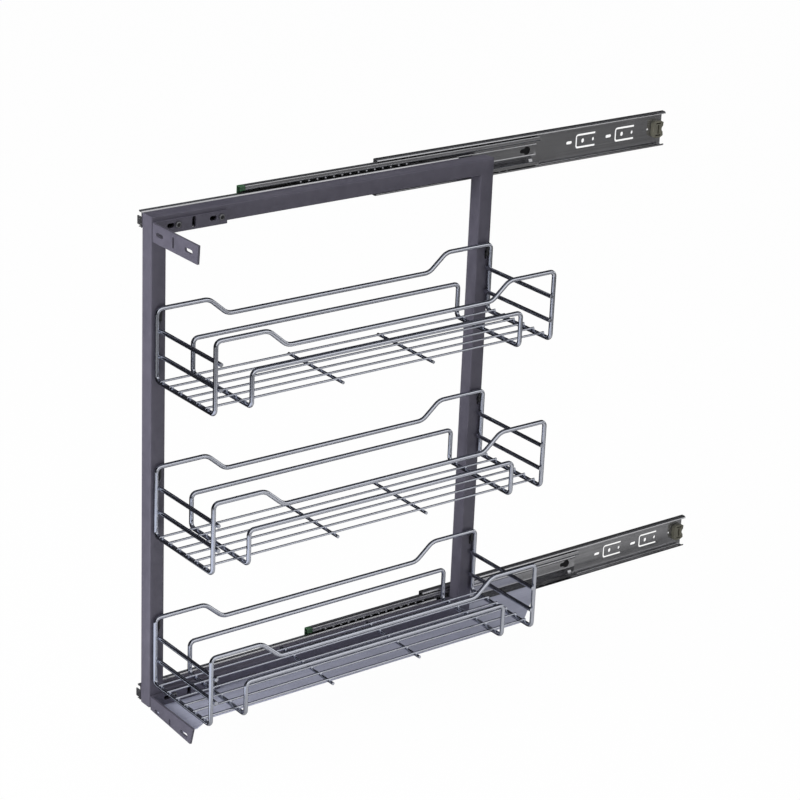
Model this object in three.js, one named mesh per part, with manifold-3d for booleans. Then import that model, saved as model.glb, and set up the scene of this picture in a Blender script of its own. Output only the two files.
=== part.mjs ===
// Pull-out larder unit: a square-tube frame that carries three wire baskets and rides
// on two three-section ball-bearing slides screwed to its left side.
// Millimetres, +Z up. +X points from the cabinet wall to the baskets, +Y to the rear.
import * as THREE from 'three';
import { mergeVertices } from 'three/addons/utils/BufferGeometryUtils.js';
import Module from 'manifold-3d';

const wasm = await Module();
wasm.setup();

// ---- Driving dimensions ----
const seatGap = 0.3;                 // left between two pieces that rest on each other

const frameHeight = 667;
const frameDepth = 529;
const tubeSize = 21.5;
const tubeWall = 1.5;

const panEdgeX = 85;                 // how far the bottom pan reaches from the frame's left face
const panLugX = 100;                 // and how far its wider front end reaches
const panLugLength = 24;
const panLugTaper = 28;
const panTail = 46;                  // how far the pan reaches behind the frame
const panTongue = 128;               // and its tongue beside the slide
const panTongueWidth = 14;
const panSheet = 1.2;
const panHem = 3.5;

const bracketHeight = 24;
const bracketSheet = 3;
const bracketReach = 127;            // end of the door flange, from the frame's left face
const bracketLeg = 107;
const bracketLegTrim = 7;            // the leg's lower edge above the flange's
const bracketTaper = 6;              // how much the lower flange narrows towards its bend
const bracketBend = 4;
const topBracketDrop = 8;            // bracket centre below the rail's centre
const bottomBracketDrop = 5.7;
const legScrewRise = 4.6;            // screws in its leg above the bracket's centre

const slideThickness = 12.7;
const slideHeight = 49.5;
const slideSheet = 1;
const outerLength = 500;
const middleLength = 475;
const innerLength = 486;
const bufferLength = 7.5;
const cageLength = 180;
const cageSheet = 0.4;
const ballGap = 0.2;                 // running clearance between a ball and its races
const outerBall = 2;                 // ball radii
const innerBall = 2.4;
const ballsPerRow = 5;
const stopLength = 23;
const catchSheet = 1.6;              // front catch on the inner member
const catchHeights = [-8, 3];        // the catch's edges, from the slide's centre
const slideRise = 1.3;               // slide centre above the rail's centre

const upperBufferFront = 143.5;        // how far each stage is drawn out behind the frame
const upperOuterFront = 355;
const lowerBufferFront = 266.5;
const lowerOuterFront = 463;

const rimWire = 6;                   // wire diameters
const barWire = 5.5;
const baseWire = 3;
const crossWire = 4.2;
const basketCount = 3;
const lowestBasket = 35;             // centre of the lowest basket's floor wire above the frame's foot
const basketPitch = 210;
const basketWidth = 132.5;             // between the centres of a rim's two side wires
const basketInset = 3.8;             // from the frame's front to the rim's outer face
const basketOverhang = 2.3;          // the rim's outer face behind the frame's rear
const rimHeight = 94;
const rimLow = 70.5;
const rimHighLength = 75;            // high stretch of the rim at each end
const rimSlope = 27.5;               // length along Y of the sloping stretch
const guardHeight = 46.5;
const guardInset = 52.5;
const frontBarHeights = [64.6, 31.6];
const rearBarHeights = [61, 28];
const wireBend = 9;                  // centre-line radius of a wire's right-angled bends
const baseWires = 6;
const baseInset = 15;                // from the rim's side wires to the first and last base wires
const crossPlaces = [200, 341];

const screwHead = 8.5;
const screwHeadHeight = 2.2;
const screwShank = 4;
const screwLength = 9;
const screwClearance = 0.6;          // hole diameter over shank diameter

const hookHeight = 8;
const hookSheet = 2.5;
const hookSlotHeight = 12.5;
const hookSlotWidth = 4;

// ---- Places worked out from them ----
const railTopZ = frameHeight - tubeSize / 2;
const railBottomZ = tubeSize / 2;
const mitre = seatGap / Math.SQRT2;
const legFace = tubeSize + seatGap;
const rimNearWallX = tubeSize + seatGap + rimWire / 2;
const rimFarX = rimNearWallX + basketWidth;
const basketLength = frameDepth - basketInset + basketOverhang - rimWire;
const rimFrontY = basketInset + rimWire / 2;
const rimRearY = rimFrontY + basketLength;
const upperSlideZ = railTopZ + slideRise;
const lowerSlideZ = railBottomZ + slideRise;
const topBracketZ = railTopZ - topBracketDrop;
const bottomBracketZ = railBottomZ - bottomBracketDrop;

// ---- Finishes ----
const finish = (color, roughness, metalness) =>
  new THREE.MeshStandardMaterial({ color, roughness, metalness });
const greyPowder = () => finish(0x5f5d68, 0.5, 0.2);
const panSteel = () => finish(0x8f90a2, 0.35, 0.6);
const chrome = () => finish(0xb9bac2, 0.12, 1);
const zinc = () => finish(0x7b7a80, 0.35, 0.9);
const screwSteel = () => finish(0x3c3b40, 0.4, 0.8);
const cageSteel = () => finish(0x1b1b1d, 0.5, 0.3);
const greenPlastic = () => finish(0x1c5a2c, 0.5, 0);
const olivePlastic = () => finish(0x6b6247, 0.55, 0);

// ---- Solids ----
function solidOf(geometry) {
  const bare = geometry.index ? geometry.toNonIndexed() : geometry.clone();
  bare.deleteAttribute('normal');
  bare.deleteAttribute('uv');
  const merged = mergeVertices(bare, 1e-4);
  return new wasm.Manifold(new wasm.Mesh({
    numProp: 3,
    vertProperties: merged.attributes.position.array,
    triVerts: new Uint32Array(merged.index.array),
  }));
}

function geometryOf(solid) {
  const mesh = solid.getMesh();
  const geometry = new THREE.BufferGeometry();
  geometry.setAttribute('position', new THREE.BufferAttribute(new Float32Array(mesh.vertProperties), 3));
  geometry.setIndex(new THREE.BufferAttribute(new Uint32Array(mesh.triVerts), 1));
  geometry.computeVertexNormals();
  return geometry;
}

const joined = (first, ...others) => others.reduce((solid, other) => solid.add(other), first);
const cut = (first, ...others) => others.reduce((solid, other) => solid.subtract(other), first);

function piece(name, solid, material) {
  const mesh = new THREE.Mesh(geometryOf(solid), material);
  mesh.name = name;
  return mesh;
}

// An outline drawn in two of the axes, carried along the third from one place to another.
const along = {
  x: new THREE.Matrix4().makeBasis(
    new THREE.Vector3(0, 1, 0), new THREE.Vector3(0, 0, 1), new THREE.Vector3(1, 0, 0)),
  y: new THREE.Matrix4().makeBasis(
    new THREE.Vector3(0, 0, 1), new THREE.Vector3(1, 0, 0), new THREE.Vector3(0, 1, 0)),
  z: new THREE.Matrix4(),
};

function prism(axis, outline, from, to) {
  const options = { depth: to - from, bevelEnabled: false };
  const geometry = new THREE.ExtrudeGeometry(new THREE.Shape(outline), options);
  geometry.translate(0, 0, from);
  geometry.applyMatrix4(along[axis]);
  return solidOf(geometry);
}

const point = (u, v) => new THREE.Vector2(u, v);

function rectangle(u0, u1, v0, v1) {
  return [point(u0, v0), point(u1, v0), point(u1, v1), point(u0, v1)];
}

function arc(u, v, radius, fromDegrees, toDegrees, steps) {
  return Array.from({ length: steps + 1 }, (_, i) => {
    const angle = THREE.MathUtils.degToRad(fromDegrees + (toDegrees - fromDegrees) * i / steps);
    return point(u + radius * Math.cos(angle), v + radius * Math.sin(angle));
  });
}

const disc = (u, v, diameter) => arc(u, v, diameter / 2, 0, 360, 10).slice(0, -1);

// A slot with round ends, its length along the outline's first axis.
function slotAlongU(u, v, length, width) {
  const straight = (length - width) / 2;
  return [
    ...arc(u + straight, v, width / 2, -90, 90, 3),
    ...arc(u - straight, v, width / 2, 90, 270, 3),
  ];
}

const slotAlongV = (u, v, length, width) =>
  slotAlongU(v, -u, length, width).map((p) => point(-p.y, p.x));

// The outline of a sheet of even thickness that follows a centre line.
function sheetOutline(line, thickness) {
  const side = (distance) => line.map((p, i) => {
    const before = p.clone().sub(line[Math.max(i - 1, 0)]).normalize();
    const after = line[Math.min(i + 1, line.length - 1)].clone().sub(p).normalize();
    const direction = before.clone().add(after).normalize();
    const lead = before.lengthSq() > 0 ? before : after;
    const stretch = distance / direction.dot(lead);
    return point(p.x - direction.y * stretch, p.y + direction.x * stretch);
  });
  return [...side(-thickness / 2), ...side(thickness / 2).reverse()];
}

// The profile of half a channel, from its lip to its web, with its mirror image below.
function wholeChannel(upperHalf) {
  const lowerHalf = upperHalf.map((p) => point(p.x, -p.y)).reverse();
  return [...upperHalf, ...lowerHalf];
}

// The profile is drawn in X and Z; the prism's outline order for Y is Z first, then X.
const profileAlongY = (outline, from, to) =>
  prism('y', outline.map((p) => point(p.y, p.x)).reverse(), from, to);

// ---- Frame ----
const basketFloors = Array.from({ length: basketCount }, (_, i) => lowestBasket + i * basketPitch);
const hookZ = (floor) => floor + rimHeight - wireBend - hookSlotHeight / 2;
const hookStep = (rimWire + hookSlotWidth) / 2 + seatGap;
const hookFrontY = rimFrontY + hookStep;
const hookRearY = rimRearY - hookStep;
const bracketScrews = [36, 98.5];
const slideScrews = [30, innerLength - 31];

const screwHole = (y, z, from, to) => prism('x', disc(y, z, screwShank + screwClearance), from, to);

function hookSlot(y, z) {
  const halfWidth = hookSlotWidth / 2;
  const halfHeight = hookSlotHeight / 2;
  const outline = rectangle(y - halfWidth, y + halfWidth, z - halfHeight, z + halfHeight);
  return prism('x', outline, tubeSize - tubeWall - 1, tubeSize + 1);
}

// Four lengths of square tube, mitred at the corners: each is a trapezium in the frame's
// plane, bored from end to end.
function frameTube(start, end) {
  const run = end.clone().sub(start).normalize();
  const inward = point(-run.y, run.x);
  const at = (corner, lengthwise, across) =>
    corner.clone().addScaledVector(run, lengthwise).addScaledVector(inward, across);
  const outline = [
    at(start, mitre, 0), at(end, -mitre, 0),
    at(end, -mitre - tubeSize, tubeSize), at(start, mitre + tubeSize, tubeSize),
  ];
  const bore = [
    at(start, -1, tubeWall), at(end, 1, tubeWall),
    at(end, 1, tubeSize - tubeWall), at(start, -1, tubeSize - tubeWall),
  ];
  return cut(prism('x', outline, 0, tubeSize), prism('x', bore, tubeWall, tubeSize - tubeWall));
}

function makeFrame() {
  const corners = rectangle(0, frameDepth, 0, frameHeight);
  const names = ['bottom_rail', 'rear_post', 'top_rail', 'front_post'];
  const railHoles = (slideZ, bracketZ) => [
    ...slideScrews.map((y) => screwHole(y, slideZ, -1, tubeWall + 1)),
    ...bracketScrews.map((y) => screwHole(y, bracketZ + legScrewRise,
      tubeSize - tubeWall - 1, tubeSize + 1)),
  ];
  const holes = {
    bottom_rail: railHoles(lowerSlideZ, bottomBracketZ),
    rear_post: basketFloors.map((floor) => hookSlot(hookRearY, hookZ(floor))),
    top_rail: railHoles(upperSlideZ, topBracketZ),
    front_post: basketFloors.map((floor) => hookSlot(hookFrontY, hookZ(floor))),
  };
  const group = new THREE.Group();
  names.forEach((name, i) => {
    const tube = frameTube(corners[i], corners[(i + 1) % 4]);
    group.add(piece(name, cut(tube, ...holes[name]), greyPowder()));
  });
  group.add(makePan());
  return group;
}

// Sheet-steel pan welded under the bottom rail, with a turned-up hem along its near edge
// and a tongue that runs on behind the frame beside the slide.
function makePan() {
  const topZ = -seatGap;
  const frontY = bracketSheet + seatGap;
  const rearY = frameDepth + panTail;
  const outline = [
    point(frontY, 0), point(frameDepth + panTongue, 0),
    point(frameDepth + panTongue, panTongueWidth), point(rearY, panEdgeX),
    point(panLugLength + panLugTaper, panEdgeX), point(panLugLength, panLugX), point(frontY, panLugX),
  ];
  const sheet = prism('z', outline.map((p) => point(p.y, p.x)).reverse(), topZ - panSheet, topZ);
  const hemStart = panLugLength + panLugTaper + bracketSheet;
  const hem = prism('z', rectangle(panEdgeX - panSheet, panEdgeX, hemStart, rearY),
    topZ - panSheet / 2, topZ + panHem);
  return piece('bottom_pan', joined(sheet, hem), panSteel());
}

// ---- Door brackets ----
// An angle of flat steel: the leg is screwed to the rail, the flange carries the door.
const flangeSlots = [{ x: 41, length: 13 }, { x: 107, length: 19 }];
const flangeUprightSlot = 71.5;
const legUprightSlot = 59;
const legHoles = [26, 87];
const legHoleLength = 9.5;
const slotWidth = 5.2;
const legUprightSize = [13, 5];
const flangeUprightWidth = 4.2;

function makeBracket(name, centreZ, { endSlant, taper, slotDrop, uprightLength }) {
  const screwZ = centreZ + legScrewRise;
  const slotZ = centreZ - slotDrop;
  const inside = legFace + bracketSheet;
  const cornerRadius = bracketBend - bracketSheet / 2;
  const centreX = legFace + bracketSheet / 2;
  const centreLine = [
    point(centreX, bracketLeg),
    ...arc(centreX + cornerRadius, bracketSheet / 2 + cornerRadius, cornerRadius, 180, 270, 4),
    point(bracketReach, bracketSheet / 2),
  ];
  const footZ = centreZ - bracketHeight / 2;
  const plate = prism('z', sheetOutline(centreLine, bracketSheet), footZ, footZ + bracketHeight);
  const trimStart = bracketSheet + 0.1;
  const trim = [
    point(trimStart, footZ - 1), point(bracketLeg + 1, footZ - 1),
    point(bracketLeg + 1, footZ + bracketLegTrim), point(trimStart, footZ + bracketLegTrim),
  ];
  const narrowing = [
    point(footZ - 1, legFace - 1), point(footZ + taper, legFace - 1),
    point(footZ, bracketReach - 1), point(footZ - 1, bracketReach - 1),
  ];
  const slant = [
    point(footZ - 1, bracketReach - endSlant), point(footZ + bracketHeight, bracketReach),
    point(footZ + bracketHeight, bracketReach + 1), point(footZ - 1, bracketReach + 1),
  ];
  const legCut = (outline) => prism('x', outline, legFace - 1, inside + 1);
  const flangeCut = (outline) => prism('y', outline, -1, bracketSheet + 1);
  const cuts = [
    legCut(trim),
    flangeCut(slant),
    ...(taper > 0 ? [prism('y', narrowing, -1, bracketSheet + 0.1)] : []),
    ...legHoles.map((y) => legCut(slotAlongU(y, screwZ, legHoleLength, slotWidth))),
    ...bracketScrews.map((y) => legCut(disc(y, screwZ, screwShank + screwClearance))),
    legCut(slotAlongV(legUprightSlot, screwZ, ...legUprightSize)),
    ...flangeSlots.map(({ x, length }) => flangeCut(slotAlongV(slotZ, x, length, slotWidth))),
    flangeCut(slotAlongU(slotZ, flangeUprightSlot, uprightLength, flangeUprightWidth)),
  ];
  const group = new THREE.Group();
  group.add(piece(name, cut(plate, ...cuts), greyPowder()));
  bracketScrews.forEach((y, i) => {
    const screw = makeScrew(`${name}_screw_${i + 1}`, screwSteel());
    screw.position.set(inside + seatGap, y, screwZ);
    group.add(screw);
  });
  return group;
}

// A pan-head screw: its head's seat lies at the origin and its shank points along -X.
function makeScrew(name, material) {
  const half = screwHead / 2;
  const outline = [
    point(0, -screwLength), point(screwShank / 2, -screwLength), point(screwShank / 2, 0),
    point(half, 0), point(half, screwHeadHeight * 0.45), point(half * 0.6, screwHeadHeight),
    point(0, screwHeadHeight),
  ];
  const geometry = new THREE.LatheGeometry(outline, 8);
  geometry.rotateZ(-Math.PI / 2);
  return piece(name, solidOf(geometry), material);
}

// ---- Slides ----
// Sections in X and Z, about the slide's own centre line. X = 0 is the face that lies
// against the frame and X = -slideThickness the face that lies against the cabinet.
const outerRace = outerBall + ballGap + slideSheet / 2;
const innerRace = innerBall + ballGap + slideSheet / 2;
const outerFlangeZ = (slideHeight - slideSheet) / 2;
const outerBallZ = outerFlangeZ - outerRace;
const outerBallX = -6.6;
const grooveDepth = 0.63;
const middleFlangeZ = outerBallZ - outerRace + grooveDepth;
const innerBallZ = slideHeight / 2 - 12.55;
const innerBallX = -4.2;
const innerFlangeZ = innerBallZ - innerRace + 0.54;
const outerWebX = -slideThickness + slideSheet / 2;
const outerCageX = outerWebX + slideSheet / 2 + 0.2 + cageSheet / 2;
const middleWebX = outerCageX + cageSheet / 2 + 0.2 + slideSheet / 2;
const innerCageX = middleWebX + slideSheet / 2 + 0.4 + cageSheet / 2;
const innerWebX = -slideSheet / 2;
const channelBend = 1.6;

// The bend between a web and its upper flange, from the flange down to the web.
function bendToWeb(webX, flangeZ, radius) {
  const side = Math.sign(webX - outerBallX);
  const centreX = webX - side * radius;
  return arc(centreX, flangeZ - radius, radius, 90, side > 0 ? 0 : 180, 3);
}

// A shallow groove that a row of balls runs in, dipping below a flat flange.
function groove(ballX, ballZ, race, flangeZ) {
  const reach = THREE.MathUtils.radToDeg(Math.acos((ballZ - flangeZ) / race));
  return arc(ballX, ballZ, race, 270 + reach, 270 - reach, 4);
}

const outerHalf = [
  ...arc(outerBallX, outerBallZ, outerRace, -12, 90, 6),
  ...bendToWeb(outerWebX, outerFlangeZ, channelBend),
];
const stepBend = 0.8;
const stepX = innerBallX + (innerRace + stepBend) / 2 - stepBend;
const stepZ = innerBallZ + (innerRace + stepBend) * Math.sqrt(3) / 2;
const middleHalf = [
  ...arc(innerBallX, innerBallZ, innerRace, 20, 60, 3),
  ...arc(stepX + stepBend, stepZ, stepBend, 240, 180, 2),
  ...arc(stepX - stepBend, middleFlangeZ - stepBend, stepBend, 0, 90, 2),
  ...groove(outerBallX, outerBallZ, outerRace, middleFlangeZ),
  ...bendToWeb(middleWebX, middleFlangeZ, channelBend / 2 + 0.2),
];
const innerHalf = [
  point(-6.9, innerFlangeZ),
  ...groove(innerBallX, innerBallZ, innerRace, innerFlangeZ).reverse(),
  ...bendToWeb(innerWebX, innerFlangeZ, channelBend / 2),
];

const member = (half, length) =>
  profileAlongY(sheetOutline(wholeChannel(half), slideSheet), 0, length);

// Cuts through the outer member's web, measured forwards from its rear end: slotted screw
// holes, and tabs cut free on three sides that can be bent out to pack the slide.
const tabWidth = 20;
const tabLength = 34;
const tabSlot = 2.4;

function tabCuts(frontY) {
  const rear = frontY + tabLength;
  const half = (tabWidth - tabSlot) / 2;
  const corner = 3;
  const line = [
    point(rear, half), ...arc(frontY + corner, half - corner, corner, 90, 180, 3),
    ...arc(frontY + corner, corner - half, corner, 180, 270, 3), point(rear, -half),
  ];
  return [
    sheetOutline(line, tabSlot),
    rectangle(frontY + 8.5, frontY + 14.5, -2.6, 2.6),
    disc(frontY + 30, 0, 3.6),
  ];
}

function outerWebCuts() {
  const rearSet = [outerLength - 155, outerLength - 84];
  const frontSet = [50, 121];
  const tabs = [...frontSet, ...rearSet];
  return [
    ...tabs.flatMap(tabCuts),
    ...tabs.map((y) => slotAlongU(y - 13, 0, 10.5, 4.4)),
    disc(outerLength - 25, 0, 3),
    disc(15, 0, 5),
  ];
}

function middleWebCuts() {
  return [
    disc(middleLength - 22, 0, 8),
    slotAlongU(middleLength - 30, 0, 12, 4.4),
    ...[60, 160, 260].map((y) => slotAlongU(y, 0, 16, 10)),
  ];
}

function innerWebCuts() {
  return [
    ...slideScrews.map((y) => disc(y, 0, screwShank + screwClearance)),
    ...[90, innerLength / 2, innerLength - 106].map((y) => slotAlongU(y, 0, 14, 5)),
    slotAlongV(60, 0, 12, 5),
  ];
}

const punched = (solid, outlines, webX) =>
  cut(solid, ...outlines.map((outline) => prism('x', outline, webX - 1, webX + 1)));

// A strip-steel cage bent to a channel round its balls, which are seated in its two flanges.
function ballCage(webX, ballX, ballZ, radius) {
  const edgeX = ballX + radius * 0.8;
  const line = wholeChannel([point(edgeX, ballZ), ...bendToWeb(webX, ballZ, 0.6)]);
  const strip = profileAlongY(sheetOutline(line, cageSheet), 0, cageLength);
  const windows = [0.22, 0.5, 0.78].map((share) =>
    slotAlongU(cageLength * share, 0, cageLength * 0.2, ballZ * 1.2));
  const spacing = cageLength / ballsPerRow;
  const balls = [];
  for (let i = 0; i < ballsPerRow; i += 1) {
    for (const side of [-1, 1]) {
      const ball = new THREE.SphereGeometry(radius, 8, 4);
      ball.rotateX(Math.PI / 2);
      ball.translate(ballX, spacing * (i + 0.5), side * ballZ);
      balls.push(solidOf(ball));
    }
  }
  return joined(punched(strip, windows, webX), ...balls);
}

// Moulded catch in the outer member's rear end: a block with a spring lobe above and below.
function rearStop() {
  const half = 12;
  const lobe = 5;
  const outline = [
    point(0, -half + lobe), ...arc(lobe, -half + lobe, lobe, 180, 270, 3),
    point(stopLength - 6, -half), point(stopLength - 1, -half + 2.5), point(stopLength - 3, -4),
    point(stopLength - 3, 4), point(stopLength - 1, half - 2.5), point(stopLength - 6, half),
    ...arc(lobe, half - lobe, lobe, 90, 180, 3),
  ];
  const slit = slotAlongV(11, 0, 13, 3);
  const x0 = outerWebX + slideSheet / 2 + seatGap;
  return cut(prism('x', outline, x0, x0 + 7), prism('x', slit, x0 + 1.5, x0 + 8));
}

// The catch at the inner member's front end: a tab turned out towards the cabinet, which
// the middle member's buffer meets when the unit is shut.
function frontCatch() {
  const [foot, top] = catchHeights;
  return prism('y', rectangle(foot, top, -11, -slideSheet / 2), 0, catchSheet);
}

function makeSlide(prefix, centreZ, bufferFront, outerFront) {
  const group = new THREE.Group();
  const middleFront = bufferFront + bufferLength + seatGap;
  const outerOverlap = (outerFront + middleFront + middleLength) / 2;
  const innerOverlap = (middleFront + innerLength) / 2;
  const add = (name, solid, y, material) => {
    const mesh = piece(`${prefix}_${name}`, solid, material);
    mesh.position.set(0, y, 0);
    group.add(mesh);
  };
  add('outer_member', punched(member(outerHalf, outerLength), outerWebCuts(), outerWebX), outerFront, zinc());
  add('middle_member', punched(member(middleHalf, middleLength), middleWebCuts(), middleWebX),
    middleFront, zinc());
  const innerChannel = joined(member(innerHalf, innerLength), frontCatch());
  add('inner_member', punched(innerChannel, innerWebCuts(), innerWebX), 0, zinc());
  add('outer_cage', ballCage(outerCageX, outerBallX, outerBallZ, outerBall),
    outerOverlap - cageLength / 2, cageSteel());
  add('inner_cage', ballCage(innerCageX, innerBallX, innerBallZ, innerBall),
    innerOverlap - cageLength / 2, cageSteel());
  add('middle_buffer', member(middleHalf, bufferLength), bufferFront, greenPlastic());
  add('rear_stop', rearStop(), outerFront + outerLength - stopLength, olivePlastic());
  slideScrews.forEach((y, i) => {
    const screw = makeScrew(`${prefix}_slide_screw_${i + 1}`, screwSteel());
    screw.rotation.z = Math.PI;
    screw.position.set(-slideSheet - seatGap, y, 0);
    group.add(screw);
  });
  group.position.set(-seatGap, 0, centreZ);
  return group;
}

// ---- Wire baskets ----
// A path with a round bend of the given radius at each corner, in steps of about 30 degrees.
function bentPath(corners, closed) {
  const path = [];
  corners.forEach(({ at, bend }, i) => {
    const isEnd = !closed && (i === 0 || i === corners.length - 1);
    if (isEnd) {
      path.push(at.clone());
      return;
    }
    const count = corners.length;
    const back = corners[(i + count - 1) % count].at.clone().sub(at).normalize();
    const ahead = corners[(i + 1) % count].at.clone().sub(at).normalize();
    const turn = Math.PI - back.angleTo(ahead);
    const tangent = bend * Math.tan(turn / 2);
    const toCentre = back.clone().add(ahead).normalize().multiplyScalar(bend / Math.cos(turn / 2));
    const centre = at.clone().add(toCentre);
    const spoke = at.clone().addScaledVector(back, tangent).sub(centre);
    const axis = back.clone().cross(ahead).normalize();
    const steps = Math.max(1, Math.round(turn / (Math.PI / 6)));
    for (let k = 0; k <= steps; k += 1) {
      path.push(centre.clone().add(spoke.clone().applyAxisAngle(axis, -turn * k / steps)));
    }
  });
  return path;
}

// A round wire along a path: a ring of points at each step, carried from one to the next
// without twist. A closed wire ends on its first ring, an open one on two flat ends.
function wire(path, diameter, sides, closed) {
  const count = path.length;
  const tangents = path.map((p, i) => {
    const before = closed ? path[(i + count - 1) % count] : path[Math.max(i - 1, 0)];
    const after = closed ? path[(i + 1) % count] : path[Math.min(i + 1, count - 1)];
    return after.clone().sub(p).normalize().add(p.clone().sub(before).normalize()).normalize();
  });
  const first = new THREE.Vector3(0.36, 0.48, 0.8).cross(tangents[0]).normalize();
  const normals = [first];
  const turn = new THREE.Quaternion();
  const carry = (normal, from, to) => normal.clone().applyQuaternion(turn.setFromUnitVectors(from, to));
  for (let i = 1; i < count; i += 1) {
    normals.push(carry(normals[i - 1], tangents[i - 1], tangents[i]));
  }
  let shift = 0;
  if (closed) {
    const back = carry(normals[count - 1], tangents[count - 1], tangents[0]);
    const side = tangents[0].clone().cross(back);
    const twist = Math.atan2(first.dot(side), first.dot(back));
    shift = Math.round(twist / (2 * Math.PI / sides));
    const rest = twist - shift * 2 * Math.PI / sides;
    normals.forEach((normal, i) => normal.applyAxisAngle(tangents[i], rest * i / count));
  }
  const positions = [];
  path.forEach((p, i) => {
    for (let k = 0; k < sides; k += 1) {
      const spoke = normals[i].clone().applyAxisAngle(tangents[i], 2 * Math.PI * k / sides);
      positions.push(...p.clone().addScaledVector(spoke, diameter / 2).toArray());
    }
  });
  const triangles = [];
  const ringCount = closed ? count : count - 1;
  for (let i = 0; i < ringCount; i += 1) {
    const wraps = i === count - 1;
    for (let k = 0; k < sides; k += 1) {
      const a = i * sides + k;
      const b = i * sides + (k + 1) % sides;
      const next = wraps ? 0 : (i + 1) * sides;
      const slip = wraps ? shift : 0;
      const c = next + (k + slip + sides) % sides;
      const d = next + (k + 1 + slip + sides) % sides;
      triangles.push(a, b, d, a, d, c);
    }
  }
  if (!closed) {
    for (let k = 1; k < sides - 1; k += 1) {
      const last = (count - 1) * sides;
      triangles.push(0, k + 1, k, last, last + k, last + k + 1);
    }
  }
  return new wasm.Manifold(new wasm.Mesh({
    numProp: 3,
    vertProperties: new Float32Array(positions),
    triVerts: new Uint32Array(triangles),
  }));
}

const corner = (x, y, z, bend) => ({ at: new THREE.Vector3(x, y, z), bend });

function straightWire(fromX, toX, fromY, toY, z, diameter, sides) {
  const ends = [new THREE.Vector3(fromX, fromY, z), new THREE.Vector3(toX, toY, z)];
  return wire(ends, diameter, sides, false);
}

// The rim: one wire down, across and up at each end, with a rail along each side that is
// high at its ends and low in between. Two bars are welded inside each end.
function rimSolid() {
  const top = rimHeight;
  const slopeStart = rimFrontY + rimHighLength;
  const slopeEnd = slopeStart + rimSlope;
  const ends = rimFrontY + rimRearY;
  const side = (x, toRear) => {
    const places = [
      corner(x, rimFrontY, 0, wireBend), corner(x, rimFrontY, top, wireBend),
      corner(x, slopeStart, top, wireBend), corner(x, slopeEnd, rimLow, wireBend),
      corner(x, ends - slopeEnd, rimLow, wireBend), corner(x, ends - slopeStart, top, wireBend),
      corner(x, rimRearY, top, wireBend), corner(x, rimRearY, 0, wireBend),
    ];
    return toRear ? places : places.reverse();
  };
  const loop = bentPath([...side(rimFarX, true), ...side(rimNearWallX, false)], true);
  const overlap = 0.4;
  const inward = (rimWire + barWire) / 2 - overlap;
  const barEnd = rimFarX + rimWire / 2 + 1.5;
  const bar = (y) => (z) => straightWire(rimNearWallX - 1, barEnd, y, y, z, barWire, 8);
  const bars = [
    ...frontBarHeights.map(bar(rimFrontY + inward)), ...rearBarHeights.map(bar(rimRearY - inward)),
  ];
  const hooks = [hookFrontY, hookRearY].map(basketHook);
  return joined(wire(loop, rimWire, 8, true), ...bars, ...hooks);
}

// A flat hook on the rim's wall side, which drops behind the edge of a slot in the post.
function basketHook(y) {
  const slotZ = rimHeight - wireBend - hookSlotHeight / 2;
  const neckTop = slotZ + hookHeight / 2;
  const neckFoot = neckTop - hookHeight * 0.6;
  const lipX = tubeSize - tubeWall - seatGap;
  const lipFoot = slotZ - hookSlotHeight / 2 - 5;
  const outline = [
    point(rimNearWallX + 1, neckFoot), point(rimNearWallX + 1, rimHeight),
    point(rimNearWallX - 1.2, rimHeight), point(rimNearWallX - 1.2, neckTop), point(lipX - 2.5, neckTop),
    point(lipX - 2.5, lipFoot), point(lipX, lipFoot), point(lipX, neckFoot),
  ];
  return prism('y', outline.map((p) => point(p.y, p.x)), y - hookSheet / 2, y + hookSheet / 2);
}

// The guard: a lower hoop inside the rim's ends, whose rails run straight along both sides.
function guardSolid() {
  const front = rimFrontY + guardInset;
  const rear = rimRearY - guardInset;
  const corners = [
    corner(rimFarX, front, 0, wireBend), corner(rimFarX, front, guardHeight, wireBend),
    corner(rimFarX, rear, guardHeight, wireBend), corner(rimFarX, rear, 0, wireBend),
    corner(rimNearWallX, rear, 0, wireBend), corner(rimNearWallX, rear, guardHeight, wireBend),
    corner(rimNearWallX, front, guardHeight, wireBend), corner(rimNearWallX, front, 0, wireBend),
  ];
  return wire(bentPath(corners, true), rimWire, 8, true);
}

// The floor: thin wires from end to end, lying on the rim and guard, welded over two
// cross wires.
function floorSolid() {
  const z = (rimWire + baseWire) / 2 + seatGap;
  const spacing = (basketWidth - 2 * baseInset) / (baseWires - 1);
  const overhang = 4.5;
  const longWires = Array.from({ length: baseWires }, (_, i) => {
    const x = rimNearWallX + baseInset + i * spacing;
    return straightWire(x, x, rimFrontY - overhang, rimRearY + overhang, z, baseWire, 6);
  });
  const crossZ = z - (baseWire + crossWire) / 2 + 0.3;
  const crossWires = crossPlaces.map((y) =>
    straightWire(rimNearWallX + 5, rimFarX - 6, y, y, crossZ, crossWire, 6));
  return joined(longWires[0], ...longWires.slice(1), ...crossWires);
}

function makeBaskets() {
  const group = new THREE.Group();
  basketFloors.forEach((floor, i) => {
    const basket = new THREE.Group();
    const name = `basket_${i + 1}`;
    basket.add(piece(`${name}_rim`, rimSolid(), chrome()));
    basket.add(piece(`${name}_guard`, guardSolid(), chrome()));
    basket.add(piece(`${name}_floor`, floorSolid(), chrome()));
    basket.position.set(0, 0, floor);
    group.add(basket);
  });
  return group;
}

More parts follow.
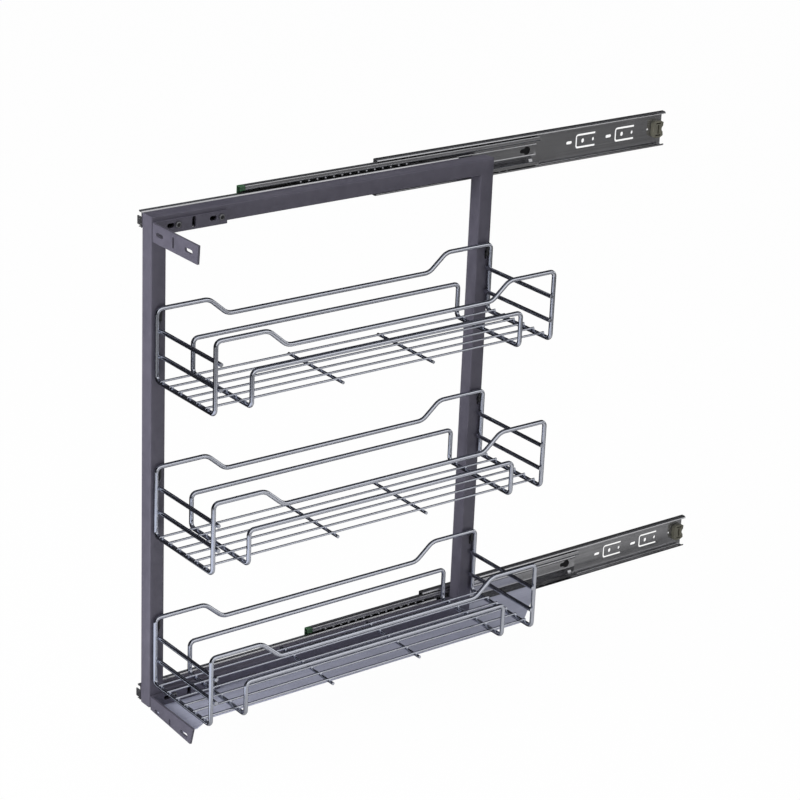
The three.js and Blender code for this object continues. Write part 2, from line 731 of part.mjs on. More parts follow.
// ---- The whole unit ----
// Its origin is on the upper outer member's back face, halfway along it.
const larder = new THREE.Group();
larder.add(makeFrame());
larder.add(makeBracket('top_door_bracket', topBracketZ,
  { endSlant: 2, taper: 0, slotDrop: 0, uprightLength: 14.5 }));
larder.add(makeBracket('bottom_door_bracket', bottomBracketZ,
  { endSlant: 7, taper: bracketTaper, slotDrop: 3.4, uprightLength: 9 }));
larder.add(makeSlide('upper', upperSlideZ, upperBufferFront, upperOuterFront));
larder.add(makeSlide('lower', lowerSlideZ, lowerBufferFront, lowerOuterFront));
larder.add(makeBaskets());
larder.position.set(slideThickness + seatGap, -(upperOuterFront + outerLength / 2), -upperSlideZ);

export default larder;
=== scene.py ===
"""Pull-out larder unit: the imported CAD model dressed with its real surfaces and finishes."""
import math
import bpy
import numpy as np
from mathutils import Matrix, Vector


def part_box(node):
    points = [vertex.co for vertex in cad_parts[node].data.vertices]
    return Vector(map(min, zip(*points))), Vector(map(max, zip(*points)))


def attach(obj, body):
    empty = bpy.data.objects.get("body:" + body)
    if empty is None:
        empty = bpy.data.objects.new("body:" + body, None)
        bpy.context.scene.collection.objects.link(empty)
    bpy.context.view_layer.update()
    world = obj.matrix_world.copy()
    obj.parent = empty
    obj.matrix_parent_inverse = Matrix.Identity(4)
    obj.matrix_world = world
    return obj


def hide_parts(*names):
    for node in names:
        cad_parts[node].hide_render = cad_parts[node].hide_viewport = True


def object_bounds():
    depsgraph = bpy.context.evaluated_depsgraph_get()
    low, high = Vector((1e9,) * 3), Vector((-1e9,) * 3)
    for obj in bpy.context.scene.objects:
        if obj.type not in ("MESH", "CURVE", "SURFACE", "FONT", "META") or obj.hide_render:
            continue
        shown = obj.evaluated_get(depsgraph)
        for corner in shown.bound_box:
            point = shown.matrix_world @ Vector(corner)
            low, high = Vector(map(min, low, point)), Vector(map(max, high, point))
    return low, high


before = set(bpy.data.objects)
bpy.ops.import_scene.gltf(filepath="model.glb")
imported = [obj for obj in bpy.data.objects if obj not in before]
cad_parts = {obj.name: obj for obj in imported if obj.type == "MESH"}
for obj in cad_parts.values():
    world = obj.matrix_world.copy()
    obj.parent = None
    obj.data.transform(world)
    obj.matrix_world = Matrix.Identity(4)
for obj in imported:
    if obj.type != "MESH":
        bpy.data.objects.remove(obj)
cad_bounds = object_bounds()


# ---- Camera ----
# A long lens a little above the unit's top, in front of it on the basket side. It stands
# where the straight edges of the frame, baskets and slides run as they do in the photo. The
# frame's foot is its outer corner, a little below the post's own mitred end.
mitre_setback = 0.212
frame_foot = np.array(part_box("front_post")[0]) - [0, 0, mitre_setback / 1000]
camera_azimuth = math.radians(52.5)
camera_elevation = math.radians(21.45)
camera_roll = math.radians(2.45)
camera_from_foot = [2.5294, -1.5356, 1.5933]
sensor_width = 36
focal_length_in_pixels = 2543.4
image_side = 800

ahead = Vector((-math.sin(camera_azimuth) * math.cos(camera_elevation),
                math.cos(camera_azimuth) * math.cos(camera_elevation),
                -math.sin(camera_elevation)))
level = ahead.cross(Vector((0, 0, 1))).normalized()
upright = level.cross(ahead)
camera_right = level * math.cos(camera_roll) + upright * math.sin(camera_roll)
camera_up = upright * math.cos(camera_roll) - level * math.sin(camera_roll)
camera_data = bpy.data.cameras.new("camera")
camera_data.sensor_width = sensor_width
camera_data.lens = sensor_width * focal_length_in_pixels / image_side
camera_data.clip_end = 50
camera = bpy.data.objects.new("camera", camera_data)
bpy.context.scene.collection.objects.link(camera)
placed = Matrix((camera_right, camera_up, -ahead)).transposed().to_4x4()
placed.translation = Vector(frame_foot + camera_from_foot)
camera.matrix_world = placed
bpy.context.scene.camera = camera


# ---- Frame ----
# Four lengths of square steel tube with rounded edges, mitred and welded at the corners
# and powder-coated grey. The posts have a slot for each basket's hook, and the rails have
# drilled holes for the slides' and brackets' screws.
def extent(node):
    """A CAD node's lowest and highest corners in millimetres from the frame's foot."""
    low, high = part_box(node)
    return (np.array(low) - frame_foot) * 1000, (np.array(high) - frame_foot) * 1000


def arc(u, v, radius, start, end, steps):
    """Points of a circular arc: the centre plus the radius times the cosine and sine."""
    angle = np.radians(np.linspace(start, end, steps + 1))
    return np.stack([u + radius * np.cos(angle), v + radius * np.sin(angle)], axis=1)


def rounded_square(low, high, radius, steps=5):
    """A square's outline, its corners replaced by quarter circles."""
    near, far = low + radius, high - radius
    return np.concatenate([
        arc(far, near, radius, -90, 0, steps), arc(far, far, radius, 0, 90, steps),
        arc(near, far, radius, 90, 180, steps), arc(near, near, radius, 180, 270, steps)])


def surface(rows, closed=False, strip_ends=False):
    """Points and faces of a skin through rows of points, each row a closed ring. The rows
    close on the first one, or end on a flat cap or on the two skins of a bent sheet. The
    volume is the sum over triangles of a corner dot the cross product of the other two, and
    where it is negative every face is turned round."""
    count, around = rows.shape[:2]
    index = np.arange(count * around).reshape(count, around)
    here = index if closed else index[:-1]
    ahead_of_it = np.roll(index, -1, axis=0) if closed else index[1:]
    quads = np.stack([here, np.roll(here, -1, 1), np.roll(ahead_of_it, -1, 1), ahead_of_it], axis=-1)
    faces = quads.reshape(-1, 4).tolist()
    if not closed and strip_ends:
        half = np.arange(around // 2 - 1)
        cap = np.stack([half, around - 1 - half, around - 2 - half, half + 1], axis=1)
        faces += index[0][cap].tolist() + index[-1][cap[:, ::-1]].tolist()
    elif not closed:
        faces += [index[0][::-1].tolist(), index[-1].tolist()]
    points = rows.reshape(-1, 3)
    corners = points[quads.reshape(-1, 4)]
    volume = np.sum(corners[:, 0] * np.cross(corners[:, 1], corners[:, 2]))
    volume += np.sum(corners[:, 0] * np.cross(corners[:, 2], corners[:, 3]))
    for face in faces[len(corners):]:
        cap = points[face]
        volume += np.sum(cap[0] * np.cross(cap[1:-1], cap[2:]))
    if volume < 0:
        faces = [face[::-1] for face in faces]
    return points, faces


def piece(name, skins, material, sharp=32):
    """One object from skins in millimetres, its place in its mesh. Edges that turn more than
    the given angle stay sharp."""
    starts = np.cumsum([0] + [len(points) for points, _ in skins])
    points = np.concatenate([points for points, _ in skins]) / 1000 + frame_foot
    faces = [[corner + int(start) for corner in face]
             for (_, skin), start in zip(skins, starts) for face in skin]
    mesh = bpy.data.meshes.new(name)
    mesh.from_pydata(points.tolist(), [], faces)
    mesh.shade_smooth()
    mesh.set_sharp_from_angle(angle=math.radians(sharp))
    mesh.materials.append(material)
    made = bpy.data.objects.new(name, mesh)
    bpy.context.scene.collection.objects.link(made)
    return made


axis_order = {"x": [2, 0, 1], "y": [1, 2, 0], "z": [0, 1, 2]}


def prism(axis, outline, start, end, **ends):
    """An outline in two axes carried along the third: it is drawn in Y and Z for X, in Z and
    X for Y, and in X and Y for Z."""
    rows = np.stack([np.column_stack([outline, np.full(len(outline), at)]) for at in (start, end)])
    return surface(rows[..., axis_order[axis]], **ends)


def rectangle(u0, u1, v0, v1):
    """Four corners, anticlockwise."""
    return np.array([[u0, v0], [u1, v0], [u1, v1], [u0, v1]], float)


def disc(u, v, diameter, steps=24):
    """A full circle's points."""
    return arc(u, v, diameter / 2, 0, 360, steps)[:-1]


def slot(u, v, length, width):
    """A slot with round ends, longer along its first axis."""
    straight = (length - width) / 2
    return np.concatenate([arc(u + straight, v, width / 2, -90, 90, 8),
                           arc(u - straight, v, width / 2, 90, 270, 8)])


def upright_slot(u, v, length, width):
    """A slot with round ends, longer along its second axis."""
    turned = slot(0, 0, length, width)
    return np.column_stack([u - turned[:, 1], v + turned[:, 0]])


def punch(target, cutters, sharp=32):
    """Cuts the cutters out of the piece and keeps the result as its mesh."""
    tool = piece("cutter", cutters, None)
    step = target.modifiers.new("punch", "BOOLEAN")
    step.operation = "DIFFERENCE"
    step.solver = "EXACT"
    step.object = tool
    depsgraph = bpy.context.evaluated_depsgraph_get()
    cut_mesh = bpy.data.meshes.new_from_object(target.evaluated_get(depsgraph))
    target.modifiers.clear()
    target.data = cut_mesh
    cut_mesh.shade_smooth()
    cut_mesh.set_sharp_from_angle(angle=math.radians(sharp))
    bpy.data.objects.remove(tool)
    return target


def ease_edges(target, width, segments=2):
    """Rounds the sharp edges of a piece by a width in millimetres."""
    step = target.modifiers.new("eased edges", "BEVEL")
    step.width = width / 1000
    step.segments = segments
    step.limit_method = "ANGLE"
    step.angle_limit = math.radians(40)
    step.harden_normals = True
    return target


def shader(name, colour, roughness, metallic=0.0):
    """A new material and its main shader, with the values that are the same all over."""
    material = bpy.data.materials.new(name)
    material.use_nodes = True
    main = material.node_tree.nodes["Principled BSDF"]
    main.inputs["Base Color"].default_value = (*colour, 1)
    main.inputs["Roughness"].default_value = roughness
    main.inputs["Metallic"].default_value = metallic
    return material, main


def add_node(material, kind, **values):
    """A node with some of its inputs or properties set by name."""
    node = material.node_tree.nodes.new(kind)
    for key, value in values.items():
        if key in node.inputs:
            node.inputs[key].default_value = value
        else:
            setattr(node, key, value)
    return node


def object_noise(material, stretch, scale, detail=3.0):
    """Noise on Object coordinates, stretched along the axes by the given factors."""
    link = material.node_tree.links.new
    place = add_node(material, "ShaderNodeTexCoord")
    mapping = add_node(material, "ShaderNodeMapping")
    mapping.inputs["Scale"].default_value = stretch
    noise = add_node(material, "ShaderNodeTexNoise", Scale=scale, Detail=detail)
    link(place.outputs["Object"], mapping.inputs["Vector"])
    link(mapping.outputs["Vector"], noise.inputs["Vector"])
    return noise.outputs["Fac"]


def vary(material, fac, socket, low, high):
    """The noise, spread over a range of values, drives a socket."""
    link = material.node_tree.links.new
    spread = add_node(material, "ShaderNodeMapRange")
    for key, value in {"From Min": 0.3, "From Max": 0.7, "To Min": low, "To Max": high}.items():
        spread.inputs[key].default_value = value
    link(fac, spread.inputs["Value"])
    link(spread.outputs["Result"], socket)


def tint(material, fac, socket, dark, light):
    """The noise, as a ramp between two colours, drives a colour socket."""
    link = material.node_tree.links.new
    ramp = add_node(material, "ShaderNodeValToRGB")
    ramp.color_ramp.elements[0].position = 0.3
    ramp.color_ramp.elements[1].position = 0.7
    ramp.color_ramp.elements[0].color = (*dark, 1)
    ramp.color_ramp.elements[1].color = (*light, 1)
    link(fac, ramp.inputs["Fac"])
    link(ramp.outputs["Color"], socket)


def roughen(material, main, fac, depth):
    """A bump of the given depth in metres."""
    link = material.node_tree.links.new
    bump = add_node(material, "ShaderNodeBump", Strength=0.5, Distance=depth)
    link(fac, bump.inputs["Height"])
    link(bump.outputs["Normal"], main.inputs["Normal"])


def powder_coat():
    """Satin purple-grey powder coat with a fine orange-peel texture."""
    material, main = shader("grey powder coat", (0.115, 0.108, 0.145), 0.42, 0.1)
    tint(material, object_noise(material, (1, 1, 1), 60), main.inputs["Base Color"],
         (0.105, 0.1, 0.133), (0.125, 0.118, 0.155))
    roughen(material, main, object_noise(material, (1, 1, 1), 900, 2), 0.0002)
    return material


grey_coat = powder_coat()
tube = extent("front_post")[1][0] - extent("front_post")[0][0]
frame_depth = extent("bottom_rail")[1][1] + mitre_setback
frame_height = extent("front_post")[1][2] + mitre_setback
wall = 1.5
edge_radius = 1.8
mitre_gap = 0.05


def mitred_tube(start, end):
    """A hollow square profile carried along a side of the frame. Each end's points run on
    by their distance from the frame's outside, so that the end lies on the mitre."""
    run = (end - start) / np.linalg.norm(end - start)
    inward = np.array([-run[1], run[0]])

    def ring(outline, corner, sense):
        """The profile's points at a corner, on the mitre."""
        across = outline[:, 1:2]
        place = corner + run * sense * (across + mitre_gap) + inward * across
        return np.column_stack([outline[:, 0], place])

    skin = rounded_square(0, tube, edge_radius)
    bore = rounded_square(wall, tube - wall, edge_radius - 1)
    rows = np.stack([ring(skin, start, 1), ring(skin, end, -1), ring(bore, end, -1), ring(bore, start, 1)])
    return surface(rows, closed=True)


hook_slot_width, hook_slot_height = 4, 12.5
basket_count = 3
frame_corners = np.array([[0, 0], [frame_depth, 0], [frame_depth, frame_height], [0, frame_height]])
tube_names = ["bottom_rail", "rear_post", "top_rail", "front_post"]
next_corners = np.roll(frame_corners, -1, axis=0)
tubes = {name: piece(name + "_tube", [mitred_tube(start, end)], grey_coat)
         for name, start, end in zip(tube_names, frame_corners, next_corners)}

rims = [extent(f"basket_{i + 1}_rim") for i in range(basket_count)]
rim_wire = 6.0
rest_gap = 0.3
hook_step = (rim_wire + hook_slot_width) / 2 + rest_gap
rim_front = rims[0][0][1] + rim_wire / 2
rim_rear = rims[0][1][1] - rim_wire / 2
wire_bend = 9
through = 1
for name, y in (("front_post", rim_front + hook_step), ("rear_post", rim_rear - hook_step)):
    slots = []
    for low, high in rims:
        slot_z = high[2] - rim_wire / 2 - wire_bend - hook_slot_height / 2
        outline = upright_slot(y, slot_z, hook_slot_height, hook_slot_width)
        slots.append(prism("x", outline, tube - wall - through, tube + through))
    punch(tubes[name], slots)

screw_hole = 4.6
leg_holes = [26, 87]
leg_hole_size = [11, 6.2]
leg_slot = 59
leg_slot_size = [14, 5.8]
for rail, slide, bracket in (("top_rail", "upper", "top"), ("bottom_rail", "lower", "bottom")):
    holes = []
    for i in (1, 2):
        _, y, z = np.mean(extent(f"{slide}_slide_screw_{i}"), axis=0)
        holes.append(prism("x", disc(y, z, screw_hole), -through, wall + through))
        _, y, screw_z = np.mean(extent(f"{bracket}_door_bracket_screw_{i}"), axis=0)
        holes.append(prism("x", disc(y, screw_z, screw_hole), tube - wall - through, tube + through))
    outlines = [slot(y, screw_z, *leg_hole_size) for y in leg_holes]
    outlines += [upright_slot(leg_slot, screw_z, *leg_slot_size)]
    holes += [prism("x", outline, tube - wall - through, tube + through) for outline in outlines]
    punch(tubes[rail], holes)

for name, made in tubes.items():
    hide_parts(name)
    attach(made, "carriage")


# ---- Bottom pan ----
# Thin cold-rolled sheet under the bottom rail, with a turned-up hem along its near edge, a
# wider front end behind the door flange and a tongue beside the slide behind the frame.
def sheet_steel():
    """Smooth bluish sheet with faint rolling lines along its length. Its colour is scaled up
    towards its front end as painted light."""
    material, main = shader("pan steel", (0.7, 0.72, 0.88), 0.36, 0.3)
    link = material.node_tree.links.new
    lines = object_noise(material, (60, 1.2, 60), 12, 4)
    tint(material, lines, main.inputs["Base Color"], (0.6, 0.62, 0.77), (0.7, 0.72, 0.89))
    ramp = main.inputs["Base Color"].links[0].from_socket
    # Painted light: the colour is scaled from 0.88 at the rear to 1.2 at the front end.
    place = add_node(material, "ShaderNodeTexCoord")
    parts = add_node(material, "ShaderNodeSeparateXYZ")
    along = add_node(material, "ShaderNodeMapRange")
    for key, value in {"From Min": -0.6, "From Max": -0.3, "To Min": 1.2, "To Max": 0.88}.items():
        along.inputs[key].default_value = value
    front_lit_colour = add_node(material, "ShaderNodeVectorMath", operation="SCALE")
    link(place.outputs["Object"], parts.inputs["Vector"])
    link(parts.outputs["Y"], along.inputs["Value"])
    link(ramp, front_lit_colour.inputs["Vector"])
    link(along.outputs["Result"], front_lit_colour.inputs["Scale"])
    link(front_lit_colour.outputs["Vector"], main.inputs["Base Color"])
    vary(material, object_noise(material, (1, 1, 1), 14), main.inputs["Roughness"], 0.3, 0.44)
    return material


pan_low, pan_high = extent("bottom_pan")
pan_sheet = 1.2
pan_top = pan_low[2] + pan_sheet
lug_reach, lug_length, lug_taper, lug_corner = 15, 24, 28, 3
pan_edge = pan_high[0] - lug_reach
tongue_width, tongue_taper = 14, 82
tail_end = pan_high[1] - tongue_taper
outline = np.concatenate([
    [[0, pan_low[1]]],
    arc(pan_high[0] - lug_corner, pan_low[1] + lug_corner, lug_corner, -90, 0, 5),
    [[pan_high[0], lug_length], [pan_edge, lug_length + lug_taper]],
    [[pan_edge, tail_end], [tongue_width, pan_high[1]], [0, pan_high[1]]]])
pan_steel = sheet_steel()
pan = piece("bottom_pan_sheet", [prism("z", outline, pan_low[2], pan_top)], pan_steel)
hem_radius = 1.9
hem_line = np.concatenate([
    arc(pan_edge - hem_radius, pan_low[2] + hem_radius, hem_radius - pan_sheet / 2, -90, 0, 5),
    [[pan_edge - pan_sheet / 2, pan_high[2]]]])


def bent_sheet(line, thickness):
    """A sheet's outline: its centre line moved out to both sides. Each point moves along the
    normal of the mean of the directions before and after it, by half the thickness over the
    cosine of half the turn."""
    step = np.diff(line, axis=0)
    length = np.linalg.norm(step, axis=1)
    line = line[np.append(True, length > 1e-6)]
    step = step[length > 1e-6] / length[length > 1e-6][:, None]
    before, after = np.concatenate([step[:1], step]), np.concatenate([step, step[-1:]])
    mean = (before + after) / np.linalg.norm(before + after, axis=1)[:, None]
    reach = thickness / 2 / np.sum(mean * before, axis=1)
    normal = np.column_stack([-mean[:, 1], mean[:, 0]]) * reach[:, None]
    return np.concatenate([line + normal, (line - normal)[::-1]])


hem_start = lug_length + lug_taper + 2
hem_skin = prism("y", bent_sheet(hem_line, pan_sheet)[:, ::-1], hem_start, tail_end, strip_ends=True)
hem = piece("bottom_pan_hem", [hem_skin], pan_steel)
for made in (pan, hem):
    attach(made, "carriage")
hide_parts("bottom_pan")


# ---- Door brackets ----
# Angles of flat steel, powder-coated like the frame. The leg has round-ended holes, an
# upright slot and two screws into the rail; the flange has slots for the door's screws, and
# the lower one narrows towards its end.
bracket_sheet, bracket_bend, bracket_height = 3.0, 4.0, 24
inner_slot, middle_slot, outer_slot, outer_slot_length = 40.5, 71.5, 105.8, 17
flange_slot_width, middle_slot_width = 5.2, 4.2
leg_trim = 7
for name, end_slant, taper, slot_drop, middle_slot_height, inner_slot_length in (
        ("top_door_bracket", 2, 0, 0, 14.5, 15.5), ("bottom_door_bracket", 7, 6, 3.4, 9, 11)):
    low, high = extent(name)
    low[2] = high[2] - bracket_height
    radius = bracket_bend - bracket_sheet / 2
    leg_x = low[0] + bracket_sheet / 2
    line = np.concatenate([
        [[leg_x, high[1]]],
        arc(leg_x + radius, bracket_sheet / 2 + radius, radius, 180, 270, 8),
        [[high[0], bracket_sheet / 2]]])
    plate = prism("z", bent_sheet(line, bracket_sheet), low[2], high[2], strip_ends=True)
    bracket = piece(name + "_plate", [plate], grey_coat)
    screw_z = np.mean(extent(f"{name}_screw_1"), axis=0)[2]
    slot_z = (low[2] + high[2]) / 2 - slot_drop
    below, slanted = low[2] - through, high[0] - end_slant
    leg_cuts = [slot(y, screw_z, *leg_hole_size) for y in leg_holes]
    leg_cuts += [upright_slot(leg_slot, screw_z, *leg_slot_size),
                 rectangle(bracket_sheet + 0.1, high[1] + through, below, low[2] + leg_trim)]
    flange_cuts = [upright_slot(slot_z, inner_slot, inner_slot_length, flange_slot_width),
                   upright_slot(slot_z, outer_slot, outer_slot_length, flange_slot_width),
                   slot(slot_z, middle_slot, middle_slot_height, middle_slot_width),
                   np.array([[below, slanted], [high[2], high[0]],
                             [high[2], high[0] + through], [below, high[0] + through]])]
    cutters = [prism("x", cut, low[0] - through, low[0] + bracket_sheet + through) for cut in leg_cuts]
    cutters += [prism("y", cut, -through, bracket_sheet + through) for cut in flange_cuts]
    punch(bracket, cutters)
    if taper:
        narrowing = np.array([[below, low[0] - through], [low[2] + taper, low[0] - through],
                              [low[2], slanted], [below, slanted]])
        punch(bracket, [prism("y", narrowing, -through, bracket_sheet + 0.5)])
    ease_edges(bracket, 0.3)
    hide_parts(name)
    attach(bracket, "carriage")


# ---- Screws ----
# Dark plated pan-head screws with a round socket: two in each bracket's leg and two
# through each slide's inner member into the rail. A near-black disc on each socket's floor is painted shade.
def dark_plate():
    """Dark zinc-nickel plate, a little uneven in gloss."""
    material, main = shader("dark screw steel", (0.19, 0.19, 0.2), 0.35, 0.85)
    vary(material, object_noise(material, (1, 1, 1), 300), main.inputs["Roughness"], 0.25, 0.5)
    return material


def turned(profile, centre, sense, steps=28):
    """A profile of (radius, distance along X) turned about an axis along X: every ring is the
    profile's radius, never quite nothing, times the cosine and sine of its angle."""
    angle = np.linspace(0, 2 * np.pi, steps, endpoint=False)
    radius = np.maximum(profile[:, :1], 0.01)
    rows = np.stack([centre[0] + sense * profile[:, 1:2] + 0 * angle,
                     centre[1] + radius * np.cos(angle), centre[2] + radius * np.sin(angle)], axis=-1)
    return surface(rows)


screw_steel = dark_plate()
socket_shade = shader("painted socket shade", (0.01, 0.01, 0.011), 0.6)[0]
shank_length, shank, socket, socket_depth, dome = 9, 2, 2.3, 1.9, 1.1
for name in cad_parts:
    if "_screw_" not in name:
        continue
    low, high = extent(name)
    centre = (low + high) / 2
    sense = 1 if "bracket" in name else -1
    seat = low[0] + shank_length if sense > 0 else high[0] - shank_length
    head = (high[1] - low[1]) / 2
    tall = high[0] - low[0] - shank_length
    floor = tall - socket_depth
    profile = np.concatenate([
        [[0, floor - 0.4], [socket * 0.9, floor], [socket, tall - 0.15], [socket + 0.2, tall]],
        [[head * 0.6, tall * 0.98]], arc(head - dome, tall - dome - 0.15, dome, 75, 10, 4),
        [[head, tall * 0.3], [head - 0.1, 0], [shank, 0], [shank, 1.4 - shank_length],
         [shank - 0.8, -shank_length], [0, -shank_length]]])
    place = (seat, centre[1], centre[2])
    screw = piece(name + "_turned", [turned(profile, place, sense)], screw_steel)
    # Painted shade: a near-black disc on the socket's floor stands for the shade inside it.
    shade_disc = rectangle(0, socket - 0.1, floor - 0.2, tall - 0.7)
    bottom = piece(name + "_socket", [turned(shade_disc, place, sense)], socket_shade)
    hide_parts(name)
    for made in (screw, bottom):
        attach(made, "carriage")


# ---- Slide members ----
# Two three-section ball-bearing slides of roll-formed zinc-plated strip: the outer member
# is for the cabinet, the inner one is screwed to the frame, and the middle one runs
# between them. Sections are drawn in X and Z about the slide's centre line.
sheet = 1.0
outer_ball, inner_ball, ball_gap = 2.0, 2.4, 0.2
slide_low, slide_high = extent("upper_outer_member")
slide_height = slide_high[2] - slide_low[2]
slide_face = extent("upper_inner_member")[1][0]
slide_back = slide_low[0] - slide_face
outer_race = outer_ball + ball_gap + sheet / 2
inner_race = inner_ball + ball_gap + sheet / 2
middle_groove, inner_groove = 0.63, 1.1
outer_flange_z = (slide_height - sheet) / 2
outer_ball_x, outer_ball_z = -6.6, outer_flange_z - outer_race
middle_flange_z = outer_ball_z - outer_race + middle_groove
inner_ball_x, inner_ball_z = -4.2, slide_height / 2 - 12.55
inner_flange_z = inner_ball_z - inner_race + inner_groove
cage_sheet, outer_cage_gap, inner_cage_gap = 0.4, 0.2, 0.4
outer_web_x = slide_back + sheet / 2
outer_cage_x = outer_web_x + sheet / 2 + outer_cage_gap + cage_sheet / 2
middle_web_x = outer_cage_x + cage_sheet / 2 + outer_cage_gap + sheet / 2
inner_cage_x = middle_web_x + sheet / 2 + inner_cage_gap + cage_sheet / 2
inner_web_x = -sheet / 2


def bend_to_web(web_x, flange_z, radius, steps=6):
    """A quarter circle from a flange down to its web, on the web's side of the balls."""
    side = 1 if web_x > outer_ball_x else -1
    return arc(web_x - side * radius, flange_z - radius, radius, 90, 0 if side > 0 else 180, steps)


def groove(ball_x, ball_z, race, flange_z, steps=8):
    """A shallow groove for a row of balls: the arc of the race's circle below the flat flange.
    It reaches on both sides of straight down by the angle whose cosine is the flange's depth
    below the balls' centre over the race's radius."""
    reach = math.degrees(math.acos((ball_z - flange_z) / race))
    return arc(ball_x, ball_z, race, 270 + reach, 270 - reach, steps)


def ridge(web_x, height, centre_z, width):
    """Points down a web over a raised lengthwise ridge, half a wave of a cosine."""
    turn = np.linspace(1, -1, 9)
    return np.column_stack([web_x + height * np.cos(turn * np.pi / 2), centre_z + width * turn])


outer_half = np.concatenate([
    arc(outer_ball_x, outer_ball_z, outer_race, 4, 90, 12), bend_to_web(outer_web_x, outer_flange_z, 1.6)])
step_bend = 0.8
step_x = inner_ball_x + (inner_race + step_bend) / 2 - step_bend
step_z = inner_ball_z + (inner_race + step_bend) * math.sqrt(3) / 2
plain_middle_half = np.concatenate([
    arc(inner_ball_x, inner_ball_z, inner_race, 42, 60, 5),
    arc(step_x + step_bend, step_z, step_bend, 240, 180, 5),
    arc(step_x - step_bend, middle_flange_z - step_bend, step_bend, 0, 90, 6),
    groove(outer_ball_x, outer_ball_z, outer_race, middle_flange_z),
    bend_to_web(middle_web_x, middle_flange_z, 1.0)])
middle_half = np.concatenate([plain_middle_half, ridge(middle_web_x, 0.65, 7.1, 1.3)])
middle_low_half = np.concatenate([plain_middle_half, ridge(middle_web_x, 0.25, 7.7, 1.1)])
inner_half = np.concatenate([
    [[-6.9, inner_flange_z]], groove(inner_ball_x, inner_ball_z, inner_race, inner_flange_z)[::-1],
    [[-1.6, inner_flange_z], [-1.3, inner_flange_z - 0.3], [inner_web_x, inner_flange_z - 2.6]]])


def keyhole(u, v, diameter, tail, width):
    """A round hole with a narrower slot that runs from it against the first axis. They meet
    where the slot's width over the hole's diameter is the sine of the angle."""
    meeting = math.degrees(math.asin(width / diameter))
    return np.concatenate([arc(u, v, diameter / 2, meeting - 180, 180 - meeting, 20),
                           arc(u - tail, v, width / 2, 90, 270, 8)])


def channel(half, thickness, start, end, centre_z, low_half=None):
    """A bent strip's section, with the same half or another one mirrored below its centre
    line, and carried from start to end."""
    mirrored = (half if low_half is None else low_half) * [1, -1]
    line = np.concatenate([half, mirrored[::-1]])
    outline = bent_sheet(line, thickness) + [slide_face, centre_z]
    return prism("y", outline[:, ::-1], start, end, strip_ends=True)


def zinc_plate():
    """Clear-passivated zinc: grey, with fine drawing lines along the strip."""
    material, main = shader("zinc plated strip", (0.52, 0.52, 0.54), 0.2, 0.93)
    lines = object_noise(material, (500, 1.5, 500), 2.2, 4)
    tint(material, lines, main.inputs["Base Color"], (0.42, 0.42, 0.435), (0.62, 0.62, 0.64))
    vary(material, object_noise(material, (1, 1, 1), 25), main.inputs["Roughness"], 0.15, 0.26)
    roughen(material, main, lines, 0.00006)
    return material


zinc = zinc_plate()
tab_places = [50, 121, 345, 416]
tab_length, tab_reach, tab_bend, tab_slit = 34, 8.8, 3, 2.9
tab_hole_size, tab_tip_size, web_slot_size, keyhole_size = [6.4, 5.2], [5, 4], [10.5, 4.4], [11.5, 8.5, 6]
access_places, access_size = [60, 160, 260], [16, 10]
inner_screw_places, inner_slot_places, inner_slot_size = [30, 455], [90, 243, 380], [14, 5]
for prefix in ("upper", "lower"):
    low, high = extent(f"{prefix}_outer_member")
    centre_z = (low[2] + high[2]) / 2
    web = slide_face + outer_web_x
    outer = piece(f"{prefix}_outer_channel", [channel(outer_half, sheet, low[1], high[1], centre_z)], zinc)
    cuts = []
    for y in low[1] + tab_places:
        upper, lower = centre_z + tab_reach, centre_z - tab_reach
        line = np.concatenate([
            [[y + tab_length, upper]], arc(y + tab_bend, upper - tab_bend, tab_bend, 90, 180, 6),
            arc(y + tab_bend, lower + tab_bend, tab_bend, 180, 270, 6), [[y + tab_length, lower]]])
        cuts.append(prism("x", bent_sheet(line, tab_slit), web - through, web + through, strip_ends=True))
        cuts += [prism("x", outline, web - through, web + through) for outline in (
            upright_slot(y + 11.5, centre_z, *tab_hole_size), upright_slot(y + 30, centre_z, *tab_tip_size),
            slot(y - 13, centre_z, *web_slot_size))]
    cuts += [prism("x", disc(y, centre_z, size), web - through, web + through)
             for y, size in ((high[1] - 25, 3), (low[1] + 15, 5))]
    punch(outer, cuts)
    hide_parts(f"{prefix}_outer_member")
    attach(outer, f"{prefix}_cabinet_member")

    low, high = extent(f"{prefix}_middle_member")
    web = slide_face + middle_web_x
    skin = channel(middle_half, sheet, low[1], high[1], centre_z, middle_low_half)
    middle = piece(f"{prefix}_middle_channel", [skin], zinc)
    outlines = [keyhole(high[1] - 16, centre_z, *keyhole_size)]
    outlines += [slot(low[1] + y, centre_z, *access_size) for y in access_places]
    punch(middle, [prism("x", outline, web - through, web + through) for outline in outlines])
    wedge = [[centre_z - 12.4, web + 0.4], [centre_z - 17.2, web + 2.6], [centre_z - 17.4, web + 0.4]]
    stop_tab = piece(f"{prefix}_middle_stop_tab", [prism("y", wedge, high[1] - 12, high[1] - 6)], zinc)
    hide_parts(f"{prefix}_middle_member")
    for made in (middle, stop_tab):
        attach(made, f"{prefix}_middle_member")

    low, high = extent(f"{prefix}_inner_member")
    web = slide_face + inner_web_x
    catch = prism("y", rectangle(centre_z - 8, centre_z + 3, slide_face - 11, slide_face - sheet / 2),
                  low[1], low[1] + 1.6)
    inner = piece(f"{prefix}_inner_channel", [channel(inner_half, sheet, low[1], high[1], centre_z)], zinc)
    tab = piece(f"{prefix}_front_catch", [catch], zinc)
    ease_edges(tab, 0.4)
    outlines = [disc(low[1] + y, centre_z, screw_hole) for y in inner_screw_places]
    outlines += [slot(low[1] + y, centre_z, *inner_slot_size) for y in inner_slot_places]
    outlines += [upright_slot(low[1] + 60, centre_z, 12, 5)]
    punch(inner, [prism("x", outline, web - through, web + through) for outline in outlines])
    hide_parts(f"{prefix}_inner_member")
    for made in (inner, tab):
        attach(made, "carriage")
